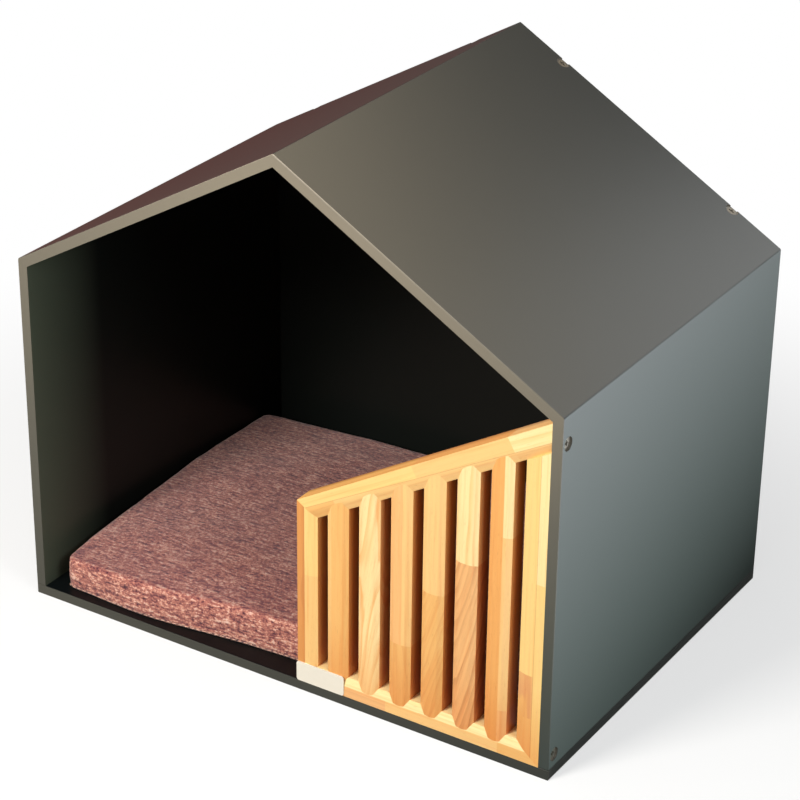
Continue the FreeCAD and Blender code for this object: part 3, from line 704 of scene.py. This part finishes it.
def padCounts():
    return round(cushion["width"] / cushion["cell"]), round(cushion["depth"] / cushion["cell"])


def flatPlace(i, j):
    # Where a step of the grid lies on the flat rectangle.
    countX, countY = padCounts()
    return (i / countX - 0.5) * cushion["width"], (j / countY - 0.5) * cushion["depth"]


def shapeOutline(x, y):
    # Rounds the corners of the rectangle and lets its front edge bow out a little.
    centreX = cushion["width"] / 2 - cushion["corner"]
    centreY = cushion["depth"] / 2 - cushion["corner"]
    overX, overY = abs(x) - centreX, abs(y) - centreY
    if overX > 0 and overY > 0:
        share = max(overX, overY) / math.hypot(overX, overY)
        x = math.copysign(centreX + overX * share, x)
        y = math.copysign(centreY + overY * share, y)
    place = (x / cushion["width"] + 0.5 - cushion["bowPlace"]) / cushion["bowReach"]
    nearFront = max(0.0, 1 - (y + cushion["depth"] / 2) / cushion["bowDepth"])
    return x, y - cushion["bow"] * math.exp(-place * place) * nearFront ** 2


def topHeight(x, y):
    # The top is lowest in the corners and highest in the middle.
    acrossX, acrossY = (2 * x / cushion["width"]) ** 2, (2 * y / cushion["depth"]) ** 2
    return (cushion["edge"] + cushion["sideRise"] * (1 - acrossX * acrossY)
            + cushion["crown"] * (1 - acrossX) * (1 - acrossY))


def padRim():
    # Steps round the pad's outline, as places in the grid.
    countX, countY = padCounts()
    return ([(i, 0) for i in range(countX)] + [(countX, j) for j in range(countY)]
            + [(i, countY) for i in range(countX, 0, -1)] + [(0, j) for j in range(countY, 0, -1)])


def padLayer(mesh, isTop):
    # The pad's top or bottom: its points by their places in the grid.
    countX, countY = padCounts()
    layer = {}
    for i in range(countX + 1):
        for j in range(countY + 1):
            flat = flatPlace(i, j)
            layer[i, j] = mesh.verts.new((*shapeOutline(*flat), topHeight(*flat) if isTop else 0.0))
    for i in range(countX):
        for j in range(countY):
            mesh.faces.new([layer[i, j], layer[i + 1, j], layer[i + 1, j + 1], layer[i, j + 1]])
    return layer


def sideRow(mesh, lower, upper, share):
    # A row of points up the sides, which bulge a little between the two seams.
    row = []
    for low, high in zip(lower, upper):
        middle = low.co.lerp(high.co, share)
        out = Vector((max(abs(middle.x) - cushion["width"] / 2 + cushion["corner"], 0),
                      max(abs(middle.y) - cushion["depth"] / 2 + cushion["corner"], 0), 0))
        out.normalize()
        out.x, out.y = math.copysign(out.x, middle.x), math.copysign(out.y, middle.y)
        row.append(mesh.verts.new(middle + out * cushion["bulge"] * math.sin(math.pi * share)))
    return row


def padShape():
    # The pad as a closed grid, and the numbers of the points on its two seams.
    mesh = bmesh.new()
    crease = mesh.edges.layers.float.new("crease_edge")
    bottom, top = padLayer(mesh, False), padLayer(mesh, True)
    rim = padRim()
    lowSeam, highSeam = [bottom[step] for step in rim], [top[step] for step in rim]
    rows = [lowSeam]
    for number in range(1, cushion["rows"]):
        rows.append(sideRow(mesh, lowSeam, highSeam, number / cushion["rows"]))
    rows.append(highSeam)
    for lower, upper in zip(rows, rows[1:]):
        for index in range(len(rim)):
            mesh.faces.new([lower[index - 1], lower[index], upper[index], upper[index - 1]])
    for seam, sharpness in ((lowSeam, cushion["bottomCrease"]), (highSeam, cushion["topCrease"])):
        for index in range(len(rim)):
            mesh.edges.get((seam[index - 1], seam[index]))[crease] = sharpness
    bmesh.ops.recalc_face_normals(mesh, faces=mesh.faces)
    mesh.verts.index_update()
    seams = [vertex.index for vertex in lowSeam + highSeam]
    data = bpy.data.meshes.new("cushion")
    mesh.to_mesh(data)
    mesh.free()
    item = bpy.data.objects.new("cushion", data)
    bpy.context.scene.collection.objects.link(item)
    return item, seams


def applyModifiers(item):
    bpy.context.view_layer.update()
    depsgraph = bpy.context.evaluated_depsgraph_get()
    data = bpy.data.meshes.new_from_object(item.evaluated_get(depsgraph))
    item.modifiers.clear()
    item.data = data


def swell(item, seams):
    # Inflates the pad between its seams with cloth, and caps how far each point may move.
    item.vertex_groups.new(name="seams").add(seams, 1.0, "REPLACE")
    before = [v.co.copy() for v in item.data.vertices]
    cloth = item.modifiers.new("cloth", "CLOTH")
    cloth.settings.vertex_group_mass = "seams"
    cloth.settings.use_pressure = True
    cloth.settings.uniform_pressure_force = cushion["pressure"]
    cloth.settings.effector_weights.gravity = 0
    scene = bpy.context.scene
    for number in range(1, cushion["frames"] + 1):
        scene.frame_set(number)
    applyModifiers(item)
    scene.frame_set(1)
    furthest = 0.0
    upright = [abs(v.normal.z) for v in item.data.vertices]
    for vertex, start, flatness in zip(item.data.vertices, before, upright):
        step = vertex.co - start
        furthest = max(furthest, step.length)
        cap = cushion["cap"] * (cushion["sideShare"] + (1 - cushion["sideShare"]) * flatness)
        if step.length > cap:
            vertex.co = start + step * (cap / step.length)
    print("cushion swelled by up to", round(furthest, 4))


def padPlace():
    turn = Matrix.Rotation(math.radians(cushion["turn"]), 4, "Z")
    middle = Vector((cushion["width"] / 2, cushion["depth"] / 2, 0))
    return Matrix.Translation(Vector(cushion["place"]) + turn @ middle) @ turn


def settle(item):
    # Lays shallow folds into the cloth, flattens what rests on the floor and turns the pad into
    # its place.
    normals = [v.normal.copy() for v in item.data.vertices]
    for vertex, normal in zip(item.data.vertices, normals):
        co = vertex.co
        rise = 0.0
        for flatScale, uprightScale, height in cushion["folds"]:
            sample = Vector((co.x * flatScale, co.y * flatScale, co.z * uprightScale))
            rise += noise.noise(sample) * height
        rise *= min(1.0, co.z / cushion["foldsFrom"])
        vertex.co += normal * rise
        vertex.co.z = max(vertex.co.z, 0.0)
    item.data.transform(padPlace())
    for polygon in item.data.polygons:
        polygon.use_smooth = True


def stitchTree():
    # Geometry Nodes: one stitch laid along the path at every step of it.
    tree = bpy.data.node_groups.new("stitches", "GeometryNodeTree")
    tree.interface.new_socket("Path", in_out="INPUT", socket_type="NodeSocketGeometry")
    for name in ("Spacing", "Length", "Thickness"):
        tree.interface.new_socket(name, in_out="INPUT", socket_type="NodeSocketFloat")
    tree.interface.new_socket("Finish", in_out="INPUT", socket_type="NodeSocketMaterial")
    tree.interface.new_socket("Stitches", in_out="OUTPUT", socket_type="NodeSocketGeometry")
    given = tree.nodes.new("NodeGroupInput").outputs
    path = put(tree, "GeometryNodeMeshToCurve", {"Mesh": given["Path"]}).outputs[0]
    path = put(tree, "GeometryNodeResampleCurve", {"Curve": path, "Length": given["Spacing"]},
               mode="LENGTH").outputs[0]
    bead = put(tree, "GeometryNodeMeshUVSphere", {"Segments": 8, "Rings": 6, "Radius": 0.5})
    size = put(tree, "ShaderNodeCombineXYZ", {0: given["Thickness"], 1: given["Thickness"],
                                              2: given["Length"]}).outputs[0]
    bead = put(tree, "GeometryNodeTransform", {"Geometry": bead.outputs[0], "Scale": size})
    tangent = tree.nodes.new("GeometryNodeInputTangent").outputs[0]
    turned = put(tree, "FunctionNodeAlignRotationToVector", {"Vector": tangent}, axis="Z")
    laid = put(tree, "GeometryNodeInstanceOnPoints", {"Points": path, "Instance": bead.outputs[0],
                                                      "Rotation": turned.outputs[0]}).outputs[0]
    laid = put(tree, "GeometryNodeRealizeInstances", {"Geometry": laid}).outputs[0]
    laid = put(tree, "GeometryNodeSetMaterial", {"Geometry": laid, "Material": given["Finish"]})
    put(tree, "NodeGroupOutput", {"Stitches": laid.outputs[0]})
    return tree


def makeSeam():
    points = [(*shapeOutline(*flatPlace(i, j)), cushion["seamHeight"]) for i, j in padRim()]
    steps = [(index, (index + 1) % len(points)) for index in range(len(points))]
    data = bpy.data.meshes.new("cushion_seam")
    data.from_pydata(points, steps, [])
    data.transform(padPlace())
    item = bpy.data.objects.new("cushion_seam", data)
    bpy.context.scene.collection.objects.link(item)
    finish = makePlain("cushion_thread", chenille["thread"], chenille["salmon"],
                       chenille["threadRoughness"], chenille["threadScale"])
    modifier = item.modifiers.new("stitches", "NODES")
    modifier.node_group = stitchTree()
    settings = {"Spacing": cushion["stitchSpacing"], "Length": cushion["stitch"],
                "Thickness": cushion["thread"] * 2, "Finish": finish}
    for socket in modifier.node_group.interface.items_tree:
        if socket.name in settings:
            modifier[socket.identifier] = settings[socket.name]
    applyModifiers(item)
    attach(item, "cushion")


def makeCushion():
    item, seams = padShape()
    swell(item, seams)
    finer = item.modifiers.new("finer", "SUBSURF")
    finer.levels = finer.render_levels = 1
    applyModifiers(item)
    settle(item)
    item.data.materials.clear()
    item.data.materials.append(makeChenille())
    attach(item, "cushion")
    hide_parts("cushion_cover", "cushion_foam")


makeCushion()
makeSeam()
print("cushion finished")


# Floor, backdrop and light

studio = {
    "floorSize": 14.0,
    "floorShown": "ffffff",
    "floorBounce": "9c9a96",
    "floorRoughness": 0.9,
    "shadowNear": 0.4,
    "shadowFar": 0.0,
    "shadowReach": (0.3, 0.8),
    "world": 0.16,
    "worldGloss": 0.2,
}
lamps = {
    "key": {"place": (-0.35, -1.45, 1.1), "aim": (0.0, -0.18, 0.2), "size": 0.55, "power": 31.5,
            "colour": (1.0, 0.96, 0.9)},
    "window": {"place": (1.35, -0.7, 1.15), "aim": (0.25, 0.0, 0.25), "size": 0.5, "power": 9,
               "colour": (0.92, 0.97, 1.0)},
    "ceiling": {"place": (0.1, -0.5, 2.3), "aim": (0.0, 0.0, 0.2), "size": 1.2, "power": 5,
                "colour": (1, 1, 1)},
}
# Cards that only gloss sees, like the ones set round a table-top photograph
cards = {
    "windowCard": {"place": (0.9, 0.4, 0.01), "tilt": 0, "turn": -12, "size": (1.2, 2.0),
                   "strength": 5.6, "colour": "eef2f8", "near": "aecdc4", "fade": 0.38},
    "eaveCard": {"place": (0.66, 0.75, 0.72), "tilt": 90, "turn": 0, "size": (0.8, 0.6),
                 "strength": 2.6, "colour": "f4f6f6"},
    "ridgeCard": {"place": (0.2, 0.75, 1.55), "tilt": 90, "turn": 0, "size": (1.1, 0.76),
                  "strength": 5.0, "colour": "f7e2bf"},
    "warmCard": {"place": (-1.35, 1.3, 0.01), "tilt": 0, "turn": 0, "size": (2.2, 2.6),
                 "strength": 2.0, "colour": "6e2c22"},
}


def makeFloor():
    bpy.ops.mesh.primitive_plane_add(size=studio["floorSize"])
    floor = bpy.context.object
    floor.name = "studioFloor"
    finish = bpy.data.materials.new("studioFloor")
    finish.use_nodes = True
    tree = finish.node_tree
    output, bounce = tree.nodes["Material Output"], tree.nodes["Principled BSDF"]
    bounce.inputs["Base Color"].default_value = srgb(studio["floorBounce"])
    bounce.inputs["Roughness"].default_value = studio["floorRoughness"]
    bounce.inputs["Specular IOR Level"].default_value = 0.0
    shaded = put(tree, "ShaderNodeBsdfDiffuse", {"Color": srgb(studio["floorShown"])})
    white = put(tree, "ShaderNodeEmission", {"Color": srgb(studio["floorShown"]), "Strength": 1.0})
    # The shadow shows near the house, and the floor further out is plain white
    point = tree.nodes.new("ShaderNodeTexCoord").outputs["Object"]
    away = put(tree, "ShaderNodeVectorMath", {0: point}, operation="LENGTH").outputs["Value"]
    share = spread(tree, away, *studio["shadowReach"], studio["shadowNear"], studio["shadowFar"],
                   smooth=True)
    lit = put(tree, "ShaderNodeMixShader", {0: share, 1: white.outputs[0], 2: shaded.outputs[0]})
    ray = put(tree, "ShaderNodeLightPath")
    shown = put(tree, "ShaderNodeMixShader", {0: ray.outputs["Is Camera Ray"], 1: bounce.outputs[0],
                                              2: lit.outputs[0]})
    tree.links.new(shown.outputs[0], output.inputs["Surface"])
    floor.data.materials.append(finish)


def makeCard(name, place, tilt, turn, size, strength, colour, near=None, fade=None):
    # A card with a fade is dark at its near side and has its full strength that share of its
    # width further on.
    bpy.ops.mesh.primitive_plane_add(size=1, location=place,
                                     rotation=(math.radians(tilt), 0, math.radians(turn)))
    card = bpy.context.object
    card.name = name
    card.scale = (size[0], size[1], 1)
    card.visible_camera = card.visible_diffuse = card.visible_shadow = False
    finish = bpy.data.materials.new(name)
    finish.use_nodes = True
    tree = finish.node_tree
    glow = put(tree, "ShaderNodeEmission", {"Color": srgb(colour), "Strength": strength})
    if fade:
        point = tree.nodes.new("ShaderNodeTexCoord").outputs["Object"]
        ramp = spread(tree, along(tree, point, (1, 0, 0)), -0.5, fade - 0.5)
        tree.links.new(calc(tree, "MULTIPLY", ramp, strength), glow.inputs["Strength"])
        tree.links.new(blendColour(tree, ramp, srgb(near), srgb(colour)), glow.inputs["Color"])
    tree.links.new(glow.outputs[0], tree.nodes["Material Output"].inputs["Surface"])
    card.data.materials.append(finish)


def makeLamp(name, place, aim, size, power, colour):
    data = bpy.data.lights.new(name, "AREA")
    data.size = size
    data.energy = power
    data.color = colour
    lamp = bpy.data.objects.new(name, data)
    lamp.location = place
    lamp.rotation_euler = (Vector(aim) - Vector(place)).to_track_quat("-Z", "Y").to_euler()
    bpy.context.scene.collection.objects.link(lamp)


def makeWorld():
    world = bpy.data.worlds.new("studio")
    bpy.context.scene.world = world
    world.use_nodes = True
    tree = world.node_tree
    background = tree.nodes["Background"]
    ray = put(tree, "ShaderNodeLightPath")
    glossy = spread(tree, ray.outputs["Is Glossy Ray"], 0.0, 1.0, studio["world"],
                    studio["worldGloss"])
    strength = calc(tree, "MAXIMUM", ray.outputs["Is Camera Ray"], glossy)
    tree.links.new(strength, background.inputs["Strength"])
    background.inputs["Color"].default_value = (1, 1, 1, 1)


makeFloor()
makeWorld()
for name, settings in lamps.items():
    makeLamp(name, **settings)
for name, settings in cards.items():
    makeCard(name, **settings)
bpy.context.scene.view_settings.view_transform = "Standard"
print("studio ready")
